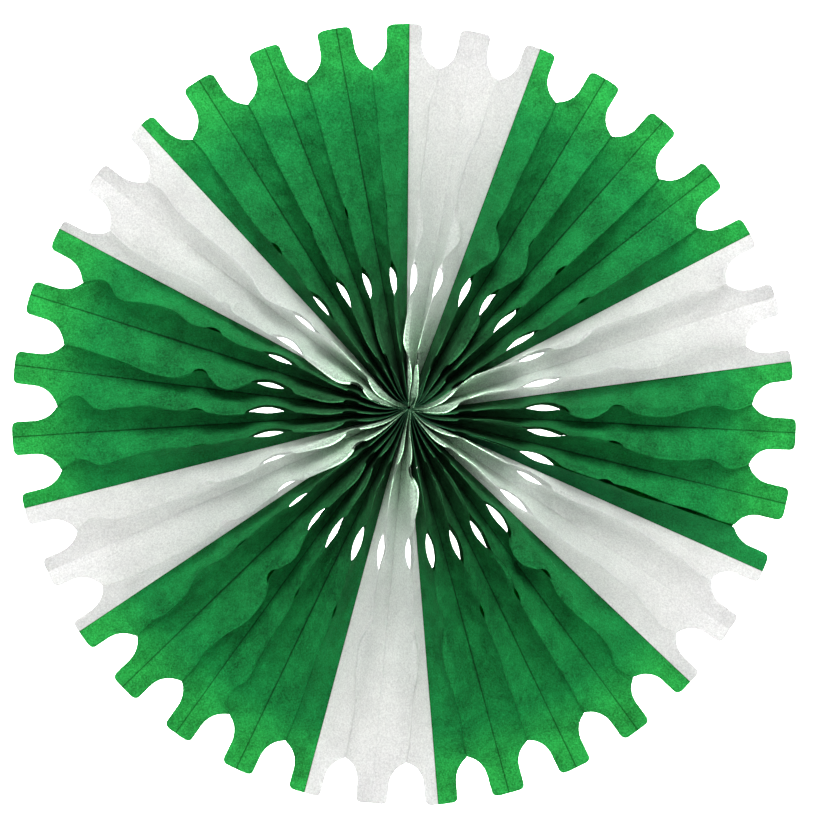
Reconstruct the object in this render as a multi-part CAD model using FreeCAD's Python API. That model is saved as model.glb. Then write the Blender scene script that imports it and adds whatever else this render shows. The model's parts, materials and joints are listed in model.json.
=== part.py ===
import FreeCAD, Part
import math
import os

# Round fan of honeycomb tissue, hung upright with its face towards -Y.
# Seventy long paper strips stand around the hub. Each strip is glued along its middle
# line to one neighbour and along both long edges to the other, so two strips make one
# closed cell. Cells meet at the straight seams. Their glued edges are the front and
# back crests, deep at the hub and almost flat at the rim.
# X is right, Z is up, angles run clockwise from the top as seen from the front.

# Driving sizes, in millimetres and degrees
first_seam_angle = 0.5
white_cell_angle = 9.82
cells_in_sectors = [2, 4, 2, 3, 2, 4, 2, 4, 2, 4, 2, 4]
green_tooth_reach = 320.0
white_tooth_shortfall = 5.0
crest_reach = 280.0
crest_rim_depth = 9.5
paper_thickness = 0.2
hub_slack = 0.1
glue_line_width = 0.8
tooth_width = 28.0
notch_rise = 20.0
tooth_corner = 2.6
tooth_crown = 0.8
inner_slit_radius = 46.0
inner_slit_length = 13.0
inner_slit_depth = 7.0
large_slit_radius = 109.0
large_slit_length = 32.0
large_slit_depth = 10.0
outer_slit_radius = 168.0
outer_slit_length = 14.0
outer_slit_depth = 4.5
closure_cell_number = 11
closure_gap = 1.2
closure_start = 125.0

# Fineness of the curved cuts
notch_steps = 3
large_slit_steps = 3
small_slit_steps = 2

# Sizes worked out from the ones above
cell_count = sum(cells_in_sectors)
white_count = sum(cells_in_sectors[0::2])
green_cell_angle = (360.0 - white_count * white_cell_angle) / (cell_count - white_count)
green_spread = math.tan(math.radians(green_cell_angle / 2))
white_spread = math.tan(math.radians(white_cell_angle / 2))
strip_half_width = math.hypot(crest_reach * green_spread, crest_rim_depth)
hub_radius = (paper_thickness + hub_slack) / white_spread
white_tooth_reach = green_tooth_reach - white_tooth_shortfall
rim_reach = max(green_tooth_reach, white_tooth_reach)
beyond = notch_rise / 2


def crest_depth(radius, spread):
    """Half the cell's depth where the strips are opened out by their spread."""
    return math.sqrt(strip_half_width ** 2 - (radius * spread) ** 2)


def station_radii():
    """Radii of the cross-sections: the hub, between the slits, the notch, past the rim."""
    rings = [(inner_slit_radius, inner_slit_length),
             (large_slit_radius, large_slit_length),
             (outer_slit_radius, outer_slit_length),
             (crest_reach, 0.0)]
    radii = [hub_radius]
    for (near, near_length), (far, far_length) in zip(rings, rings[1:]):
        radii.append((near + near_length / 2 + far - far_length / 2) / 2)
    return radii + [crest_reach, rim_reach + beyond]


def outer_section(radius, spread):
    """Corners of a cell's outside at one radius, its panels flat past the notch."""
    half = radius * spread
    glue = glue_line_width / 2
    near = min(radius, crest_reach)
    depth = glue + (crest_depth(near, spread) - glue) * radius / near
    corners = [(0, -depth), (half, -glue), (half, glue), (0, depth), (-half, glue), (-half, -glue)]
    return [FreeCAD.Vector(x, y, radius) for x, y in corners]


def inner_section(radius, spread):
    """Corners of the hollow, one paper thickness inside the four panels."""
    near = min(radius, crest_reach)
    half = near * spread
    depth = crest_depth(near, spread)
    slant = math.hypot(half, depth)
    seam_wall = paper_thickness * slant / depth
    crest_wall = paper_thickness * slant / half
    seam = radius * spread - seam_wall
    crest = (depth - crest_wall) * seam / (half - seam_wall)
    corners = [(0, -crest), (seam, 0), (0, crest), (-seam, 0)]
    return [FreeCAD.Vector(x, y, radius) for x, y in corners]


def face(*points):
    return Part.Face(Part.makePolygon(list(points) + [points[0]]))


def panel(crest, next_crest, seam, next_seam):
    """One strip half between two sections, folded on the line from crest to seam."""
    return [face(crest, next_crest, next_seam), face(crest, next_seam, seam)]


def skin(sections, panels, flats):
    """Closed solid through a row of like sections, from the hub to past the rim."""
    faces = [face(*sections[0]), face(*sections[-1])]
    for a, b in zip(sections, sections[1:]):
        for crest, seam in panels:
            faces += panel(a[crest], b[crest], a[seam], b[seam])
    for first, second in flats:
        near = [section[first] for section in sections]
        far = [section[second] for section in reversed(sections)]
        faces.append(face(*near, *far))
    solid = Part.Solid(Part.Shell(faces))
    if solid.Volume < 0:
        solid.reverse()
    return solid


def plain_cell(spread):
    """Closed tube of two strips, before its cuts."""
    radii = station_radii()
    outside = [outer_section(radius, spread) for radius in radii]
    inside = [inner_section(radius, spread) for radius in radii]
    body = skin(outside, ((0, 1), (3, 2), (3, 4), (0, 5)), ((1, 2), (4, 5)))
    hollow = skin(inside, ((0, 1), (2, 1), (2, 3), (0, 3)), ())
    return body.cut(hollow)


def through_cut(outline):
    """Prism along Y that cuts front and back alike, as the die does."""
    deep = 2 * strip_half_width
    points = [FreeCAD.Vector(x, -deep, z) for x, z in outline]
    return face(*points).extrude(FreeCAD.Vector(0, 2 * deep, 0))


def tooth_side(spread, reach):
    """Half of the notch: the curve from the cusp to the tooth, its side and its end."""
    slope = math.atan(spread)
    along = (math.sin(slope), math.cos(slope))
    across = (-math.cos(slope), math.sin(slope))
    half = tooth_width / 2

    def point(distance, offset):
        x = distance * along[0] + offset * across[0]
        return (x, distance * along[1] + offset * across[1])

    cusp_along = crest_reach * math.cos(slope)
    cusp_offset = crest_reach * math.sin(slope) - half
    radius = (notch_rise ** 2 + cusp_offset ** 2) / (2 * cusp_offset)
    sweep = math.asin(notch_rise / radius)
    shoulder = cusp_along + notch_rise
    outline = []
    for k in range(1, notch_steps + 1):
        turn = sweep * (1 - k / notch_steps)
        offset = half + radius * (1 - math.cos(turn))
        outline.append(point(shoulder - radius * math.sin(turn), offset))
    end = reach - tooth_crown
    outline.append(point(end - tooth_corner, half))
    outline.append(point(end, half - tooth_corner))
    outline.append(point(reach, 0))
    outline.append(point(reach, -tooth_width))
    return outline


def notch_cut(spread, left_reach, right_reach):
    """Everything outside the crest's cusp and the two half teeth."""
    right = tooth_side(spread, right_reach)
    left = [(-x, z) for x, z in tooth_side(spread, left_reach)]
    high = rim_reach + 2 * beyond
    top = [(right[-1][0], high), (left[-1][0], high)]
    return through_cut([(0, crest_reach)] + right + top + left[::-1])


def slit_cut(spread, radius, length, depth, steps):
    """Almond across a crest, cut to a depth in the strip's own plane."""
    side = []
    for k in range(1, steps):
        t = 2 * k / steps - 1
        z = radius + t * length / 2
        side.append((z * spread * depth * (1 - t * t) / strip_half_width, z))
    left = [(-x, z) for x, z in side]
    ends = [(0, radius - length / 2)], [(0, radius + length / 2)]
    return through_cut(ends[0] + side + ends[1] + left[::-1])


def cut_cell(spread, left_reach, right_reach):
    """Finished cell with its notch and its three slits on each crest."""
    cuts = [notch_cut(spread, left_reach, right_reach),
            slit_cut(spread, inner_slit_radius, inner_slit_length, inner_slit_depth, small_slit_steps),
            slit_cut(spread, large_slit_radius, large_slit_length, large_slit_depth, large_slit_steps),
            slit_cut(spread, outer_slit_radius, outer_slit_length, outer_slit_depth, small_slit_steps)]
    return plain_cell(spread).cut(cuts).removeSplitter()


def box(x, y, z, width, depth, height):
    return Part.makeBox(width, depth, height, FreeCAD.Vector(x, y, z))


def closure_halves(cell):
    """The cell where the fan's two ends meet, with its front edges left unglued."""
    deep = 2 * strip_half_width
    high = rim_reach + 2 * beyond
    gap = box(-closure_gap / 2, -deep, closure_start, closure_gap, deep, high)
    left = cell.common(box(-deep, -deep, 0, deep, 2 * deep, high)).cut(gap)
    right = cell.common(box(0, -deep, 0, deep, 2 * deep, high)).cut(gap)
    return left.removeSplitter(), right.removeSplitter()


def cell_list():
    """Colour, start angle and width of each cell, clockwise from the first seam."""
    cells = []
    angle = first_seam_angle
    for sector, count in enumerate(cells_in_sectors):
        colour = "green" if sector % 2 else "white"
        width = green_cell_angle if sector % 2 else white_cell_angle
        for _ in range(count):
            cells.append((colour, angle, width))
            angle += width
    return cells


def save(shape, angle, name):
    shape.rotate(FreeCAD.Vector(), FreeCAD.Vector(0, 1, 0), angle)
    shape.exportStep("parts/" + name + ".step")


def build():
    os.makedirs("parts", exist_ok=True)
    cells = cell_list()
    reach = {"green": green_tooth_reach, "white": white_tooth_reach}
    number = {"green": 0, "white": 0}
    for k, (colour, start, width) in enumerate(cells):
        own = reach[colour]
        before = (reach[cells[k - 1][0]] + own) / 2
        after = (reach[cells[(k + 1) % len(cells)][0]] + own) / 2
        cell = cut_cell(math.tan(math.radians(width / 2)), before, after)
        middle = start + width / 2
        if k == closure_cell_number - 1:
            end_strip, closing_strip = closure_halves(cell)
            save(end_strip, middle, "end_strip")
            save(closing_strip, middle, "closing_strip")
            continue
        number[colour] += 1
        save(cell, middle, "%s_cell_%02d" % (colour, number[colour]))


build()
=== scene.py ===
import bpy
import json
import math
import numpy as np
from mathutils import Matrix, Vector, noise

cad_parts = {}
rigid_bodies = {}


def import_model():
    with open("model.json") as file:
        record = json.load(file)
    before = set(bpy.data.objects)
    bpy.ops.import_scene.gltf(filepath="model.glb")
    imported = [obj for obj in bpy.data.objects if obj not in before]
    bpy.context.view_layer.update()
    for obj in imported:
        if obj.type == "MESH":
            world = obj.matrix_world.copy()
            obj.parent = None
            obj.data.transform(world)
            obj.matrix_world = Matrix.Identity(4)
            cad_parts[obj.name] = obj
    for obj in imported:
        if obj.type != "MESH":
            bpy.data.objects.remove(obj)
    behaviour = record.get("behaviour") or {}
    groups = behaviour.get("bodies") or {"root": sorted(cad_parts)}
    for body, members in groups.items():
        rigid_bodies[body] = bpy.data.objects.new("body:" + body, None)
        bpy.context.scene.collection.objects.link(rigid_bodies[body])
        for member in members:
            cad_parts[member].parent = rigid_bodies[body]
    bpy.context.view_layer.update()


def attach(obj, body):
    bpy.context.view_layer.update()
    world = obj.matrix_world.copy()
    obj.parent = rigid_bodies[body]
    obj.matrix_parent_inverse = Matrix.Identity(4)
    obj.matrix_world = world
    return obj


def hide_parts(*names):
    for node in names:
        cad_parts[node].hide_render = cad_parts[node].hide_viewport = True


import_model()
mm = 0.001
tiny = 1e-6  # keeps a division from being by zero


# A round fan of folded tissue, hung upright with its face towards -Y: 35 cells around a hub.
# Shared layout, clockwise from the top as seen from the front, in millimetres and degrees
fan = {
    "firstSeam": 0.5, "whiteCell": 9.82, "sectors": [2, 4, 2, 3, 2, 4, 2, 4, 2, 4, 2, 4],
    "greenReach": 317.0, "whiteReach": 315.0, "crestReach": 280.0,
    "halfWidth": 27.9, "hubRadius": 1.2, "closureCell": 11,
    # how far a seam lies off the even spacing, at these angles
    "drift": ([0, 62, 84, 113, 140, 175, 205, 236, 298, 318, 340, 360.5],
              [0, 0.25, 0.4, 0.45, 0.2, 0.1, 0.1, -0.9, -0.9, -1.15, -0.6, 0]),
}

# One tissue strip lying flat: along is the distance from the hub, across from the seam
strip = {
    "rows": 11, "coarse": 3.0, "medium": 1.6, "fine": 0.7,  # spacing of the columns
    "thickness": 0.14, "lip": 1.3, "smoothAngle": 35.0,
    "apart": 0.16, "apartPower": 6,  # keeps the glued edges from touching
    "toothHalf": 13.9, "endShift": 2.5, "notchRise": 20.0,
    "toothCorner": 4.2, "toothCrown": 1.0, "crownStart": 12.0,
    # place, length and depth of the three rings of slits
    "slits": [(46.0, 13.0, 7.5), (110.0, 42.0, 13.0), (168.0, 15.0, 5.4)],
    # share of the large slit that is open, at these angles
    "largeShare": ([0, 30, 58, 75, 100, 118, 150, 200, 215, 230, 240, 255, 271, 292, 330, 348, 360],
                   [0.72, 0.75, 0.8, 0.97, 1, 1, 0.88, 0.78, 0.7, 0.5, 0.52, 0.85, 0.97, 0.8,
                    0.75, 0.66, 0.7]),
    # share of the two small slits that is open: by cell number, and at random for the rest
    "pinched": {1: 0.2, 2: 1.0, 7: 0.2, 8: 0.3, 11: 0.9, 12: 0.2, 13: 0.4, 17: 0.15, 18: 1.0,
                24: 1.0, 25: 0.9, 30: 1.0, 31: 0.3},
    "slitPinch": (0.35, 0.8), "backPinch": 0.3,
}

# The glued edges on the front and back, where two strips of a cell meet
crest = {
    # how far each front edge sways from its cell's middle, at these distances from the hub
    "stations": [16, 30, 46, 64, 85, 109, 127, 146, 168, 186, 206, 228, 248, 264, 280],
    "front": [
        [-1, -0.5, -4, -11, -10, -6.5, -6, -2.5, -6, -7, -6, -5.5, -5.5, -2, 0],
        [6, 0, -5, -6, -6, -5, -5, 2.5, -5.5, -7, -7, -4, -3, -2.5, 0],
        [6, 1.5, 0, 0, -0.5, -0.5, 0.5, 9, 0, 0, -0.5, 0, 0, 1, 0.5],
        [5, 2.5, 2, 4.5, 3.5, 0, 1, 7, -0.5, -0.5, 0, 0, 0.5, 1, 1.5],
        [4, 3, 0, -1, -0.5, -0.5, 0, 0, 0.5, 1, 1.5, 2, 2, 2, 1.5],
        [3, 3, 1, -1, -0.5, 0, 0.5, 0, 0, 0.5, 0.5, 0.5, 1, 1, 0.5],
        [4, 1, -4.5, -10.5, -9, -6, -4, -1, -6, -5.5, -4, -2.5, -3, 1, 1.5],
        [5, 6, -1, -3.5, -2, -1, -2, -1, -1, 4, 5.5, 2, 0.5, 5, 5],
        [1.5, 1, -0.5, -2, -1.5, -0.5, 3, 8.5, 0, 7, 10, 5.5, 3.5, 7, 3],
        [1.5, 0, -2.5, -5, -5, -1, -1.5, -3, -1, 3, 5.5, 4, 1.5, 6, 0.5],
        [3, 1, 0, -1, -1, 0, 0.5, 1, 0.5, 0.5, 1, 1, 1, 1.5, 1],
        [1, -0.5, -4, -4.5, -4.5, -5, -4, -4, -6.5, -8, -8, -6, -5, -2, -1.5],
        [1.5, 3, 0, -1.5, 0, 1, 0.5, 0.5, 0.5, -1.5, -1.5, -1, 2, 5.5, 2],
        [0, 0, 0, -0.5, 0, 0, 4, 10.5, 0.5, 4, 4, 1.5, 2, 7, 2],
        [0, 0, -1.5, -3.5, -2.5, 0, -1.5, -4.5, -1, 0, 0, 0, 0, 0.5, 0.5],
        [0, 0, -0.5, -2.5, -1, -0.5, 0, -3, -1, -1, -1.5, -0.5, -0.5, 0, 0],
        [0, 0, 0, -0.5, 0, 0.5, 1, 2, 0, 4, 4.5, 1.5, 0, 0.5, -0.5],
        [-2.5, -4, -2.5, -9.5, -5.5, -4, -4.5, -5.5, -5, -8.5, -9, -5.5, -4.5, -3, -0.5],
        [-1, -1, 2, 2.5, 2, 1, 1, 0.5, 0, 5, 4.5, 1.5, 0, 0, 0],
        [0, 0, 0.5, 2.5, 1, 1.5, 1.5, 1, 0, 0.5, 1, 0.5, 0, 0, 0.5],
        [0, 0, 3, 0.5, 1, 1.5, 2.5, 4, 3, 2, 2.5, 2.5, 1.5, 7, -1],
        [0, 0, 1, -2.5, -1, 0, -1.5, -6, -1, -9, -11, -5, -2.5, -4, -3.5],
        [1, 0.5, 0, 2, 3, 1, 3.5, 4, 3, 3, 5.5, -1, -3, -1.5, -3],
        [-1, -2.5, -2, -7.5, -6, -4, -5, -7.5, -7, -9, -10, -9, -8, -6, -2],
        [-1.5, 0, 2.5, -2, -0.5, 1.5, 0, -2, -1, -2.5, -3.5, -4.5, -3, 3, -3],
        [0, 0, 2, -1.5, 0, 1.5, 1.5, 1.5, 1, 2, 2.5, 0, -2.5, 3.5, -3],
        [0, 0, 1, -1, -0.5, -1, -2.5, -4, -1.5, -2, 0.5, -2, -3, 6, -3],
        [0, 0, 1, -3, -2.5, -1, -1.5, -11, -1, -10, -11, -7, -5.5, -4, -4],
        [-1.5, -1, -0.5, -0.5, 1, 1.5, 1.5, 0, 2.5, 0.5, 4, 0.5, -3.5, 4, -4],
        [-5.5, -7.5, -2, -9, -8, -5.5, -6, -6.5, -7, -4.5, -4.5, -8, -9, -8, -5],
        [-5, -5.5, 0, 1, 1.5, -2, -2.5, -7.5, -3.5, -2.5, -3, -4, -4, -1, -3],
        [0, 0, -0.5, 0, -0.5, -2, -2.5, -1, -3, -4.5, -4.5, -4, -3.5, -2.5, -3.5],
        [0, 0, -1, -3, -2.5, -2.5, -3, -3.5, -3, -3, -3, -3.5, -3, -2.5, -3],
        [0, -1, -4, -6, -4.5, -3, -3.5, -3.5, -3.5, -4, -4.5, -4.5, -4.5, -4.5, -5],
        [1, 0, -1, -2.5, -3, -2, -2.5, -3, -2.5, -3, -3.5, -3.5, -3.5, -4, -4],
    ],
    "calm": [0.55, 0.75] + [1] * 13,  # the edges sway less at the first two distances
    # the back follows the front, with a wave of its own
    "backWave": [0, 0.5, 4, 2, 1, 0.8, 2, 5, 6.5, 5, 7, 3.5, 1.5, 5, 0.5],
    "backSign": [0, 1, 1, -1, -1, 1, -1, -1, 1, -1, -1, 1, 1, -1, 1],
    "backStrength": (0.75, 1.15), "follow": 0.8, "seed": 11,
    "pinned": [0, 46, 109, 168, 237, 280],  # the ridge is taut between these places
    # share of the cell's half width that an edge stays within, with more room at the hub
    "room": 0.85, "leastRoom": 0.1, "hubRoom": 1.5, "hubHalf": 8, "squeeze": 6,
    "looseStart": 18, "looseGrow": 40, "tautEnd": 15,  # loose between the hub and the notch
    "shallow": 0.8, "droop": 0.3, "rise": 0.7, "lowest": 0.6,  # depth of the ridge and the edge
    "hollow": 0.8, "belly": 0.2, "cave": 0.07, "deepestCave": 0.85,  # bend of the panels
    "over": 1.8, "overEdge": 0.4, "mostOver": 0.3,  # swelling under an edge
    # how the glued lip leans, in radians: with the sway, downwards, and less at the hub
    "leanEdge": 1.1, "leanSway": 5, "leanDown": 0.5, "leanGrow": 60, "leastLean": 0.2,
    # half the gap between the unglued front edges of the closure cell
    "closureGap": ([0, 116, 126, 150, 172, 182, 208, 220, 236, 250, 262, 280],
                   [0, 0, 0.5, 0.35, 0.45, 1.5, 1.3, 0.4, 1.3, 1.2, 0.5, 1.0]),
}


# Front and back sideways places of one cell's crests at the stations
def crestValues(index):
    front = np.array(crest["front"][index], float) * crest["calm"]
    rng = np.random.default_rng(crest["seed"] + index)
    waves = rng.choice([-1, 1]) * np.array(crest["backSign"]) * crest["backWave"]
    return front, front * crest["follow"] + waves * rng.uniform(*crest["backStrength"], len(waves))


# Share of the small slits that is open in a cell without a listed share
def randomPinch(index):
    return float(np.random.default_rng(index).uniform(*strip["slitPinch"]))


# Name, colour, place, two tooth lengths and edges of every cell
def cellList():
    whites = sum(fan["sectors"][0::2])
    greens = sum(fan["sectors"][1::2])
    widths = {"white": fan["whiteCell"], "green": (360.0 - whites * fan["whiteCell"]) / greens}
    reach = {"white": fan["whiteReach"], "green": fan["greenReach"]}
    colours = []
    for sector, count in enumerate(fan["sectors"]):
        colours += [("white", "green")[sector % 2]] * count
    cells, seam, numbers = [], fan["firstSeam"], {"white": 0, "green": 0}
    for k, colour in enumerate(colours):
        before, after = colours[k - 1], colours[(k + 1) % len(colours)]
        closure = k == fan["closureCell"] - 1
        numbers[colour] += not closure
        ends = seam, seam + widths[colour]
        start, end = (angle + float(np.interp(angle, *fan["drift"])) for angle in ends)
        width, middle = end - start, math.radians((start + end) / 2)
        cells.append({
            "name": "closure" if closure else "%s_cell_%02d" % (colour, numbers[colour]),
            "colour": colour, "closure": closure, "middle": middle, "width": width,
            "reach": ((reach[before] + reach[colour]) / 2, (reach[after] + reach[colour]) / 2),
            # where the colour changes, the seam lies beside the tooth's middle
            "wider": (-(colour == "white") * (before == "green"),
                      (colour == "green") * (after == "white")),
            "cusp": fan["crestReach"] * math.cos(math.radians(width / 2)),
            "sways": crestValues(k), "down": math.sin(middle),
            "pinch": strip["pinched"].get(k + 1) or randomPinch(k),
            "large": float(np.interp((start + end) / 2, *strip["largeShare"])),
        })
        seam += widths[colour]
    return cells


# A gentle curve through given values
def smoothThrough(stations, values, x):
    s, v = np.array(stations, float), np.array(values, float)
    slopes = np.gradient(v, s)
    i = np.clip(np.searchsorted(s, x) - 1, 0, len(s) - 2)
    h = s[i + 1] - s[i]
    t = np.clip((x - s[i]) / h, 0, 1)
    a = (1 + 2 * t) * (1 - t) ** 2 * v[i] + t * (1 - t) ** 2 * h * slopes[i]
    return a + t * t * (3 - 2 * t) * v[i + 1] + t * t * (t - 1) * h * slopes[i + 1]


# Columns along a strip: closer at the slits, in the notch and at the tooth's end
def columnPlaces(reach, cusp):
    marks = [(fan["hubRadius"], "coarse"), (cusp, "medium"), (cusp + strip["notchRise"], "coarse")]
    marks += [(reach - strip["toothCorner"], "fine"), (reach, "fine")]
    for place, length, _ in strip["slits"]:
        marks += [(place - length / 2, "medium"), (place + length / 2, "coarse")]
    marks.sort()
    places = [marks[0][0]]
    for (start, step), (end, _) in zip(marks, marks[1:]):
        count = max(1, math.ceil((end - start) / strip[step]))
        places += [start + (end - start) * k / count for k in range(1, count + 1)]
    return np.array(places)


# Half width of the cut strip: slits bite into it, the notch narrows it to the tooth
def edgeOf(cell, along, reach, toothHalf, pinch):
    edge = np.full(len(along), fan["halfWidth"])
    deepShares, longShares = (pinch, cell["large"], pinch), (1, cell["large"], 1)
    for (place, length, depth), deep, long in zip(strip["slits"], deepShares, longShares):
        t = np.clip(2 * (along - place) / (length * long), -1, 1)
        edge -= deep * depth * (1 - t * t)
    drop, rise = fan["halfWidth"] - toothHalf, strip["notchRise"]
    bend = (rise * rise + drop * drop) / (2 * drop)
    back = np.clip(cell["cusp"] + rise - along, 0, rise)
    notch = toothHalf + bend - np.sqrt(bend * bend - back * back)
    edge = np.where(along > cell["cusp"], notch, edge)
    corner = strip["toothCorner"]
    near = np.clip(along - (reach - corner), 0, corner)
    return edge - corner + np.sqrt(corner * corner - near * near)


# Sideways places of the taut ridge line and of the waving glued edge, kept within the cell
def crestPlaces(cell, front, near, half):
    values = cell["sways"][0 if front else 1]
    held = np.interp(crest["pinned"], crest["stations"], values)
    held[0] = 0
    line = np.interp(near, crest["pinned"], held)
    sway = smoothThrough(crest["stations"], values, near)
    hubRoom = crest["hubRoom"] * np.maximum(crest["hubHalf"] - half, 0)
    limit = crest["room"] * half + hubRoom + crest["leastRoom"]
    power = crest["squeeze"]
    sway = sway / (1 + (np.abs(sway) / limit) ** power) ** (1 / power)
    line = line / (1 + (np.abs(line) / limit) ** power) ** (1 / power)
    return line, sway


# Depth of the ridge and of the glued edge, which droops where it hangs and rises where it stands
def crestDepths(cell, half, wide, line, beyond, loose):
    plain = np.sqrt(wide * wide - half * half)
    taut = np.minimum(half + np.abs(line), wide)
    top = np.maximum(np.sqrt(wide * wide - taut * taut), plain * crest["shallow"])
    hang = beyond * cell["down"]
    low = top - crest["droop"] * np.maximum(hang, 0) + crest["rise"] * np.maximum(-hang, 0) * loose
    return top, np.clip(low, crest["lowest"] * top, np.maximum(wide, top))


# Offset from the seam and depth of a point q from the seam, on the panel to one crest
def panelPoint(cell, side, front, along, q):
    near = np.minimum(along, cell["cusp"])
    half = near * math.tan(math.radians(cell["width"] / 2))
    wide = fan["halfWidth"] - strip["lip"]
    line, sway = crestPlaces(cell, front, near, half)
    beyond = sway - line
    loose = np.clip((near - crest["looseStart"]) / crest["looseGrow"], 0, 1)
    loose = loose * np.clip((cell["cusp"] - near) / crest["tautEnd"], 0, 1)
    loose = loose * loose * (3 - 2 * loose)
    top, low = crestDepths(cell, half, wide, line, beyond, loose)
    lean = crest["leanEdge"] * np.tanh(beyond / crest["leanSway"])
    lean = lean + crest["leanDown"] * cell["down"]
    lean = lean * np.clip(near / crest["leanGrow"], crest["leastLean"], 1)
    if front and cell["closure"]:
        gap = smoothThrough(*crest["closureGap"], near)
        line, sway, lean = line + side * gap, sway + side * gap, lean * 0

    # across, from the seam to the ridge and to the edge, and the ridge's share of the panel
    inner, run = half - side * line, half - side * sway
    toRidge = np.hypot(inner, top)
    toEdge = np.hypot(np.minimum(side * beyond, 0), top - low)
    share = toRidge / (toRidge + toEdge)
    f = np.minimum(q / wide, 1)
    t, e = np.minimum(f / share, 1), np.clip((f - share) / (1 - share + tiny), 0, 1)

    # panels that face down hang hollow and swell under the edge, the others belly a little
    down, short = side * cell["down"], np.maximum(side * beyond, 0)
    hollow = loose * (crest["hollow"] * max(down, 0) - crest["belly"] * max(-down, 0))
    cave = np.minimum(hollow + crest["cave"] * short * loose, crest["deepestCave"])
    over = loose * (crest["over"] * max(down, 0) + crest["overEdge"] * short)
    over = np.minimum(over, crest["mostOver"] * np.maximum(run, 0))

    # a long panel folds at the ridge and goes on to the edge, a short one goes straight there
    long = side * beyond <= 0
    offset = np.where(long, inner * t + (run - inner) * e, run * f)
    longDeep = top * (t - hollow * t * (1 - t)) + (low - top) * e
    deep = np.where(long, longDeep, low * (f - cave * f * (1 - f)))
    offset += over * 6.75 * f * f * (1 - f)  # 6.75 makes the swelling's peak one
    lip = np.clip(q - wide, 0, strip["lip"])
    offset += -strip["apart"] * f ** strip["apartPower"] - side * lip * np.sin(lean)
    deep += lip * np.cos(lean)
    return offset, (-deep if front else deep)


# Grid of points of one folded strip, from the front edge over the seam to the back
def stripPoints(cell, side, along, edges, reach):
    slope = math.radians(cell["width"] / 2)
    rows, wide, start = strip["rows"], fan["halfWidth"] - strip["lip"], strip["crownStart"]
    points = []
    for row in range(-rows, rows + 1):
        edge = edges[0 if row < 0 else 1]
        q = edge if abs(row) == rows else abs(row) / (rows - 1) * np.minimum(edge, wide)
        offset, w = panelPoint(cell, side, row < 0, along, q)
        crown = strip["toothCrown"] * (q / strip["toothHalf"]) ** 2
        s = along - crown * np.clip((along - reach + start) / start, 0, 1)
        v = side * (s * math.sin(slope) - offset * math.cos(slope))
        u = s * math.cos(slope) + offset * math.sin(slope)
        points.append(np.stack([v, w, u], 1))
    return np.array(points)


# The soft crests sag, and the front is pulled up a little where it is gathered at the hub
gather = {"sag": -3.1, "sagStart": 14.0, "pull": (0.9, 2.5), "pullReach": 10.0}


# Turns a cell's points from straight up to its own angle
def turnCell(points, cell):
    a = cell["middle"]
    v, w, u = points[..., 0], points[..., 1], points[..., 2]
    far = np.hypot(u, v)
    share = np.clip(np.abs(w) / fan["halfWidth"], 0, 1)
    front = np.clip(-w / fan["halfWidth"], 0, 1)
    pull = front * np.exp(-(far / gather["pullReach"]) ** 2)
    sag = gather["sag"] * share * (1 - np.exp(-(far / gather["sagStart"]) ** 2))
    x = u * math.sin(a) + v * math.cos(a) + pull * gather["pull"][0]
    z = u * math.cos(a) - v * math.sin(a) + pull * gather["pull"][1] + sag
    return np.stack([x, w, z], -1)


# Soft unevenness of the paper, which grows from the hub outwards
crumple = {
    "start": 14.0, "grow": 80.0,
    "wave": 1.2, "waveSize": 40.0, "crinkle": 0.6, "crinkleSize": 14.0, "crinkleShift": (7, 3, 1),
}


# Lightly waved and crinkled paper in place of a dead flat sheet
def ripple(points):
    out = points.copy()
    shift = Vector(crumple["crinkleShift"])
    for p, moved in zip(points.reshape(-1, 3), out.reshape(-1, 3)):
        grow = (math.hypot(p[0], p[2]) - crumple["start"]) / crumple["grow"]
        wave = noise.noise(Vector(p) / crumple["waveSize"]) * crumple["wave"]
        crinkle = noise.noise(Vector(p) / crumple["crinkleSize"] + shift) * crumple["crinkle"]
        moved[1] += min(1.0, max(0.0, grow)) * (wave + crinkle)
    return out


# One folded strip: a grid as cut, bent into its place in the cell
def makeStrip(cell, side):
    end = 0 if side < 0 else 1
    reach = cell["reach"][end]
    toothHalf = strip["toothHalf"] + strip["endShift"] * cell["wider"][end]
    along = columnPlaces(reach, cell["cusp"])
    edges = [edgeOf(cell, along, reach, toothHalf, share * cell["pinch"])
             for share in (1, strip["backPinch"])]
    points = ripple(turnCell(stripPoints(cell, side, along, edges, reach), cell)) * mm
    if side > 0:
        points = points[::-1]  # so that both strips face out of the cell
    rows, columns = points.shape[:2]
    bpy.ops.object.select_all(action="DESELECT")
    bpy.ops.mesh.primitive_grid_add(x_subdivisions=columns - 1, y_subdivisions=rows - 1, size=1)
    piece = bpy.context.object
    mesh = piece.data
    mesh.vertices.foreach_set("co", points.reshape(-1, 3).astype(np.float32).ravel())

    # the flat strip is the pattern's map
    flat = np.zeros((rows, columns, 2))
    flat[..., 0] = along[None, :] * mm
    flat[..., 1] = np.linspace(-1, 1, rows)[:, None] * edges[0][None, :] * mm
    loops = np.zeros(len(mesh.loops), int)
    mesh.loops.foreach_get("vertex_index", loops)
    uv = mesh.uv_layers[0]
    uv.name = "flat"
    uv.data.foreach_set("uv", flat.reshape(-1, 2)[loops].astype(np.float32).ravel())
    mesh.update()
    return piece


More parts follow.
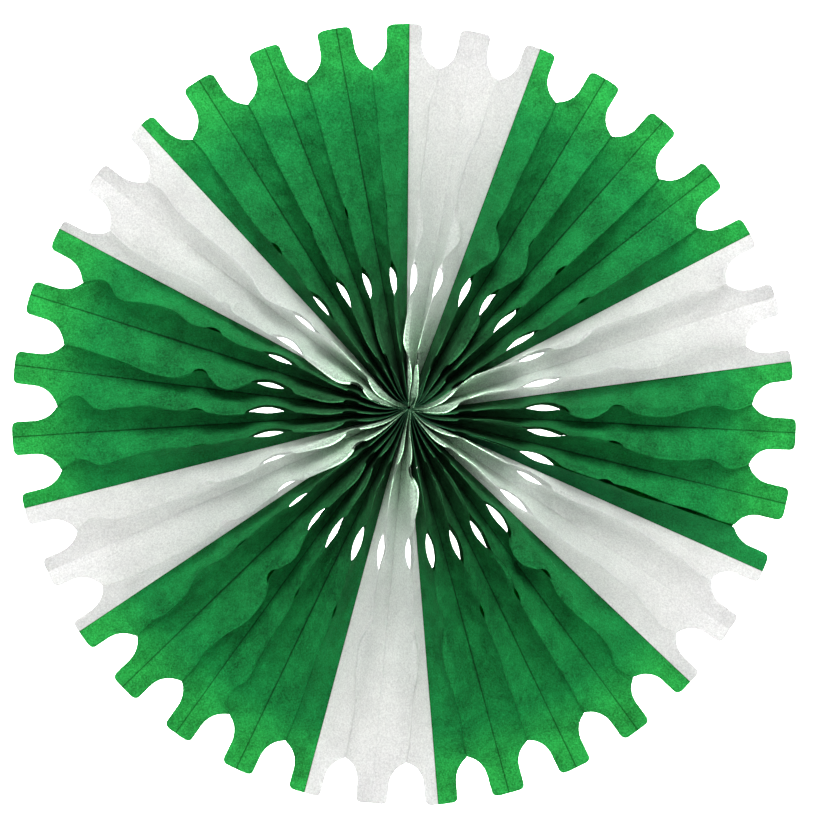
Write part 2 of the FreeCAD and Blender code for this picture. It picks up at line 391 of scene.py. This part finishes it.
# Joins strips, gives the paper its thickness and shades it smooth
def finishPiece(parts, name, material):
    bpy.ops.object.select_all(action="DESELECT")
    for part in parts:
        part.select_set(True)
    bpy.context.view_layer.objects.active = parts[0]
    if len(parts) > 1:
        bpy.ops.object.join()
    piece = bpy.context.object
    piece.name = piece.data.name = name
    wall = piece.modifiers.new("paper", "SOLIDIFY")
    wall.thickness = strip["thickness"] * mm
    wall.offset = 0
    bpy.ops.object.modifier_apply(modifier=wall.name)
    bpy.ops.object.shade_smooth_by_angle(angle=math.radians(strip["smoothAngle"]))
    piece.data.materials.clear()
    piece.data.materials.append(material)
    return piece


# A shader socket that is added, subtracted and multiplied like a number
class Wire:
    def __init__(self, tree, socket):
        self.tree, self.socket = tree, socket

    def math(self, operation, *others):
        node = self.tree.nodes.new("ShaderNodeMath")
        node.operation = operation
        for k, value in enumerate((self, *others)):
            plug(self.tree, node.inputs[k], value)
        return Wire(self.tree, node.outputs[0])

    def between(self, low, high):
        return self.math("MAXIMUM", low).math("MINIMUM", high)

    def sibling(self, output):
        return Wire(self.tree, self.socket.node.outputs[output])

    def __add__(self, other):
        return self.math("ADD", other)

    def __sub__(self, other):
        return self.math("SUBTRACT", other)

    def __mul__(self, other):
        return self.math("MULTIPLY", other)

    def __rsub__(self, other):
        return self * -1.0 + other

    __radd__, __rmul__ = __add__, __mul__


# Links a wire to a socket, or sets the socket to a value
def plug(tree, socket, value):
    if isinstance(value, Wire):
        tree.links.new(value.socket, socket)
    else:
        socket.default_value = value


# A material with one method that adds any node; _0 and _1 name an input by its number
class Paper:
    def __init__(self, name):
        self.material = bpy.data.materials.new(name)
        self.material.use_nodes = True
        self.tree = self.material.node_tree
        self.tree.nodes.clear()

    def add(self, kind, settings=None, output=0, **inputs):
        node = self.tree.nodes.new(kind)
        for key, value in (settings or {}).items():
            if key == "stops":
                while len(node.color_ramp.elements) < len(value):
                    node.color_ramp.elements.new(1.0)
                for element, (spot, colour) in zip(node.color_ramp.elements, value):
                    element.position, element.color = spot, (*colour, 1)
            else:
                setattr(node, key, value)
        for key, value in inputs.items():
            name = int(key[1:]) if key[0] == "_" else key.replace("_", " ")
            plug(self.tree, node.inputs[name], value)
        return Wire(self.tree, node.outputs[output]) if node.outputs else None


# Dye with painted light at shares of a strip's length (painted shade towards the hub, a painted
# glow at the teeth), light shining through and its share, roughness, and how strong the fibre
# grain, the clouds of dye, the relief and the dark seam (glue line and painted shade) are
tissues = {
    "greenTissue": {
        # painted light: this ramp darkens the green towards the hub as painted shade and brightens
        # and yellows the teeth as a painted glow
        "dyeAndPaintedLight": [(0.03, (0.003, 0.016, 0.007)), (0.2, (0.016, 0.088, 0.030)),
                (0.45, (0.008, 0.155, 0.038)), (0.8, (0.007, 0.205, 0.044)),
                (0.93, (0.019, 0.33, 0.055))],
        "through": (0.012, 0.45, 0.04, 1), "share": 0.2, "rough": 0.85,
        "grain": 2.8, "cloud": 1.7, "relief": 0.9, "seam": 0.95,
    },
    "whiteTissue": {
        # painted light: this ramp darkens the white towards the hub as painted shade, with a green
        # tint, and brightens the teeth a little as a painted glow
        "dyeAndPaintedLight": [(0.03, (0.05, 0.11, 0.06)), (0.16, (0.50, 0.71, 0.53)),
                (0.28, (0.75, 0.89, 0.78)), (0.45, (0.74, 0.79, 0.75)),
                (0.8, (0.79, 0.80, 0.78)), (0.93, (0.84, 0.84, 0.84))],
        "through": (0.92, 0.92, 0.915, 1), "share": 0.8, "rough": 0.85,
        "grain": 4.0, "cloud": 0.8, "relief": 0.65, "seam": 0.25,
    },
    "closingPaper": {
        # painted light: this ramp darkens the card towards the hub as painted shade and brightens
        # it towards the end
        "dyeAndPaintedLight": [(0.08, (0.010, 0.06, 0.03)), (0.45, (0.006, 0.125, 0.035)),
                (0.8, (0.007, 0.165, 0.04)), (0.93, (0.009, 0.23, 0.05))],
        "through": (0.01, 0.3, 0.03, 1), "share": 0.1, "rough": 0.8,
        "grain": 2.0, "cloud": 1.2, "relief": 0.9, "seam": 0.85,
    },
}

# What all the papers share, in metres and shares
fibre = {
    "length": 0.32, "sheen": 0.12,
    "grainScale": 700.0, "grainDetail": 2.0, "grainRough": 0.8, "grainHeight": 0.12,
    "cloudScale": 42.0, "cloudDetail": 5.0, "cloudRough": 0.62, "cloudHeight": 0.7,
    "foldScale": 75.0, "foldHeight": 0.8, "deep": 0.0026,
    # the dark seam, a glue line with painted valley shade, is wider near the hub
    "seamWidth": 0.0008, "innerSeamShade": 0.0007, "innerReach": 0.27, "innerFade": 12.0,
    # a painted highlight makes the glued edge brighter near the hub
    "lipStart": 0.0262, "lipFade": 2000.0, "lipReach": 0.085, "lipReachFade": 25.0, "lipPaintedHighlight": 3.0,
    "thinGrow": 13.0, "thinStart": 0.1, "thinLeast": 0.1,  # less light comes through at the hub
}


# Dyed tissue with painted light: painted shade deepens it towards the hub and a painted glow
# brightens the teeth;
# clouded, grained, dark at the seam (glue line and painted shade), with a painted highlight at the
# lip
def tissue(name, look):
    paper = Paper(name)
    spot = paper.add("ShaderNodeTexCoord", output=3)
    flat = paper.add("ShaderNodeUVMap", {"uv_map": "flat"})
    along = paper.add("ShaderNodeSeparateXYZ", Vector=flat)
    across = along.sibling(1).math("ABSOLUTE")
    grain = paper.add("ShaderNodeTexNoise", Vector=spot, Scale=fibre["grainScale"],
                      Detail=fibre["grainDetail"], Roughness=fibre["grainRough"])
    cloud = paper.add("ShaderNodeTexNoise", Vector=spot, Scale=fibre["cloudScale"],
                      Detail=fibre["cloudDetail"], Roughness=fibre["cloudRough"])
    fold = paper.add("ShaderNodeTexVoronoi", {"feature": "F1"}, Vector=spot,
                     Scale=fibre["foldScale"])

    # colour
    # the dye ramp carries painted light: painted shade towards the hub and a painted glow at the
    # teeth
    dyeAndPaintedLight = paper.add("ShaderNodeValToRGB", {"stops": look["dyeAndPaintedLight"]}, Fac=along * (1 / fibre["length"]))
    tone = (grain - 0.5) * look["grain"] + (cloud - 0.5) * look["cloud"] + 1.0
    toned = paper.add("ShaderNodeVectorMath", {"operation": "SCALE"}, _0=dyeAndPaintedLight, Scale=tone)
    # the dark seam is the glue line's own darkness with painted valley shade, widened near the hub
    inner = ((fibre["innerReach"] - along) * fibre["innerFade"]).between(0.0, 1.0)
    seamWidth = inner * fibre["innerSeamShade"] + fibre["seamWidth"]
    seam = 1.0 - across.math("DIVIDE", seamWidth).math("MINIMUM", 1.0)
    # painted highlight: the glued edge is brightened near the hub
    hub = ((fibre["lipReach"] - along) * fibre["lipReachFade"]).between(0.0, 1.0)
    lip = ((across - fibre["lipStart"]) * fibre["lipFade"]).between(0.0, 1.0)
    shade = (1.0 - seam * look["seam"]) * (hub * lip * fibre["lipPaintedHighlight"] + 1.0)
    colour = paper.add("ShaderNodeVectorMath", {"operation": "SCALE"}, _0=toned, Scale=shade)

    # relief
    height = fold * fibre["foldHeight"] + grain * fibre["grainHeight"]
    height = height + cloud * fibre["cloudHeight"]
    bump = paper.add("ShaderNodeBump", Strength=look["relief"], Distance=fibre["deep"],
                     Height=height)

    # a dull face, and light that comes through where the paper isn't crowded
    face = paper.add("ShaderNodeBsdfPrincipled", Base_Color=colour, Roughness=look["rough"],
                     Normal=bump, Specular_IOR_Level=fibre["sheen"])
    glow = paper.add("ShaderNodeBsdfTranslucent", Color=look["through"], Normal=bump)
    thin = (along * fibre["thinGrow"] - fibre["thinStart"]).between(fibre["thinLeast"], 1.0)
    both = paper.add("ShaderNodeMixShader", Fac=thin * look["share"], _1=face, _2=glow)
    paper.add("ShaderNodeOutputMaterial", Surface=both)
    return paper.material


# Hangs a piece on the root body and hides the solid it stands for; the colour slot is not used
def dress(piece, node, slot):
    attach(piece, "root")
    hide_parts(node)


# One piece of paper for every cell, and two for the closure
def makeFan():
    papers = {name: tissue(name, look) for name, look in tissues.items()}
    for cell in cellList():
        left, right = makeStrip(cell, -1), makeStrip(cell, 1)
        if cell["closure"]:
            end = finishPiece([left], "end_strip_tissue", papers["greenTissue"])
            closing = finishPiece([right], "closing_strip_paper", papers["closingPaper"])
            dress(end, "end_strip", "green_tissue")
            dress(closing, "closing_strip", "closing_paper")
        else:
            paper = papers[cell["colour"] + "Tissue"]
            piece = finishPiece([left, right], cell["name"] + "_tissue", paper)
            dress(piece, cell["name"], cell["colour"] + "_tissue")


# Triangles of the fan's pieces, for the log
def countTriangles():
    counts = []
    for piece in bpy.data.objects:
        if piece.name.endswith(("_tissue", "_paper")):
            piece.data.calc_loop_triangles()
            counts.append(len(piece.data.loop_triangles))
    return "%d in %d pieces, the largest %d" % (sum(counts), len(counts), max(counts))


# The studio, in metres; allRound is the light that comes from everywhere
room = {
    "floorHeight": -0.45, "floorRadius": 1.7, "floorSides": 96,
    "screenSpot": (0.2, 4.5, 0.3), "screenHalf": 1.6,
    "pale": (0.9, 0.9, 0.9, 1), "rough": 0.9, "allRound": 0.3,
}


# Round pale floor under the fan, and a pale screen far behind it
def makeRoom():
    pale = Paper("paleStudio")
    surface = pale.add("ShaderNodeBsdfPrincipled", Base_Color=room["pale"], Roughness=room["rough"])
    pale.add("ShaderNodeOutputMaterial", Surface=surface)
    bpy.ops.object.select_all(action="DESELECT")
    bpy.ops.mesh.primitive_circle_add(vertices=room["floorSides"], radius=room["floorRadius"],
                                      fill_type="NGON", location=(0, 0, room["floorHeight"]))
    floor = bpy.context.object
    floor.name = "floor"
    bpy.ops.mesh.primitive_plane_add(size=2 * room["screenHalf"], location=room["screenSpot"],
                                     rotation=(math.pi / 2, 0, 0))
    screen = bpy.context.object
    screen.name = "screen"
    for piece in (floor, screen):
        piece.data.materials.append(pale.material)


# Size of each light, its power in watts, its place and what it points at
lights = {
    "topSoftbox": ((0.9, 1.3), 66, (0.0, -1.55, 1.7), (0, 0, 0)),
    "frontFill": ((1.8, 1.8), 18, (-0.2, -3.8, 0.3), (0, 0, 0)),
    "screenTop": ((3.0, 0.5), 330, (0.2, 3.6, 2.1), (0.2, 4.5, 0.4)),
    "screenLow": ((3.0, 0.5), 330, (0.2, 3.6, -1.5), (0.2, 4.5, 0.2)),
}


def makeLights():
    for name, (size, power, spot, target) in lights.items():
        bpy.ops.object.light_add(type="AREA", location=spot)
        lamp = bpy.context.object
        lamp.name = name
        lamp.data.shape = "RECTANGLE"
        lamp.data.size, lamp.data.size_y = size
        lamp.data.energy = power
        lamp.rotation_euler = (Vector(target) - Vector(spot)).to_track_quat("-Z", "Y").to_euler()
    world = bpy.data.worlds.new("studio")
    bpy.context.scene.world = world
    world.use_nodes = True
    world.node_tree.nodes["Background"].inputs[0].default_value = (1, 1, 1, 1)
    world.node_tree.nodes["Background"].inputs[1].default_value = room["allRound"]


# The camera stands a little left of the fan and below it, by these angles in degrees
view = {
    "distance": 2.8, "left": 3.0, "below": 3.0, "aim": (0.0051, 0.0, -0.00004),
    "frameWidth": 0.6655, "sensor": 36,
}


def makeCamera():
    left, below = math.radians(view["left"]), math.radians(view["below"])
    level = math.cos(below)
    ray = Vector((-math.sin(left) * level, -math.cos(left) * level, -math.sin(below)))
    bpy.ops.object.camera_add(location=Vector(view["aim"]) + ray * view["distance"])
    camera = bpy.context.object
    camera.rotation_euler = (-ray).to_track_quat("-Z", "Y").to_euler()
    camera.data.sensor_width = view["sensor"]
    camera.data.lens = view["sensor"] * view["distance"] / view["frameWidth"]
    bpy.context.scene.camera = camera


makeFan()
print("fan made, triangles", countTriangles())
makeRoom()
print("floor and screen made")
makeLights()
print("lights made")
makeCamera()
print("camera made")
bpy.context.scene.view_settings.view_transform = "Standard"
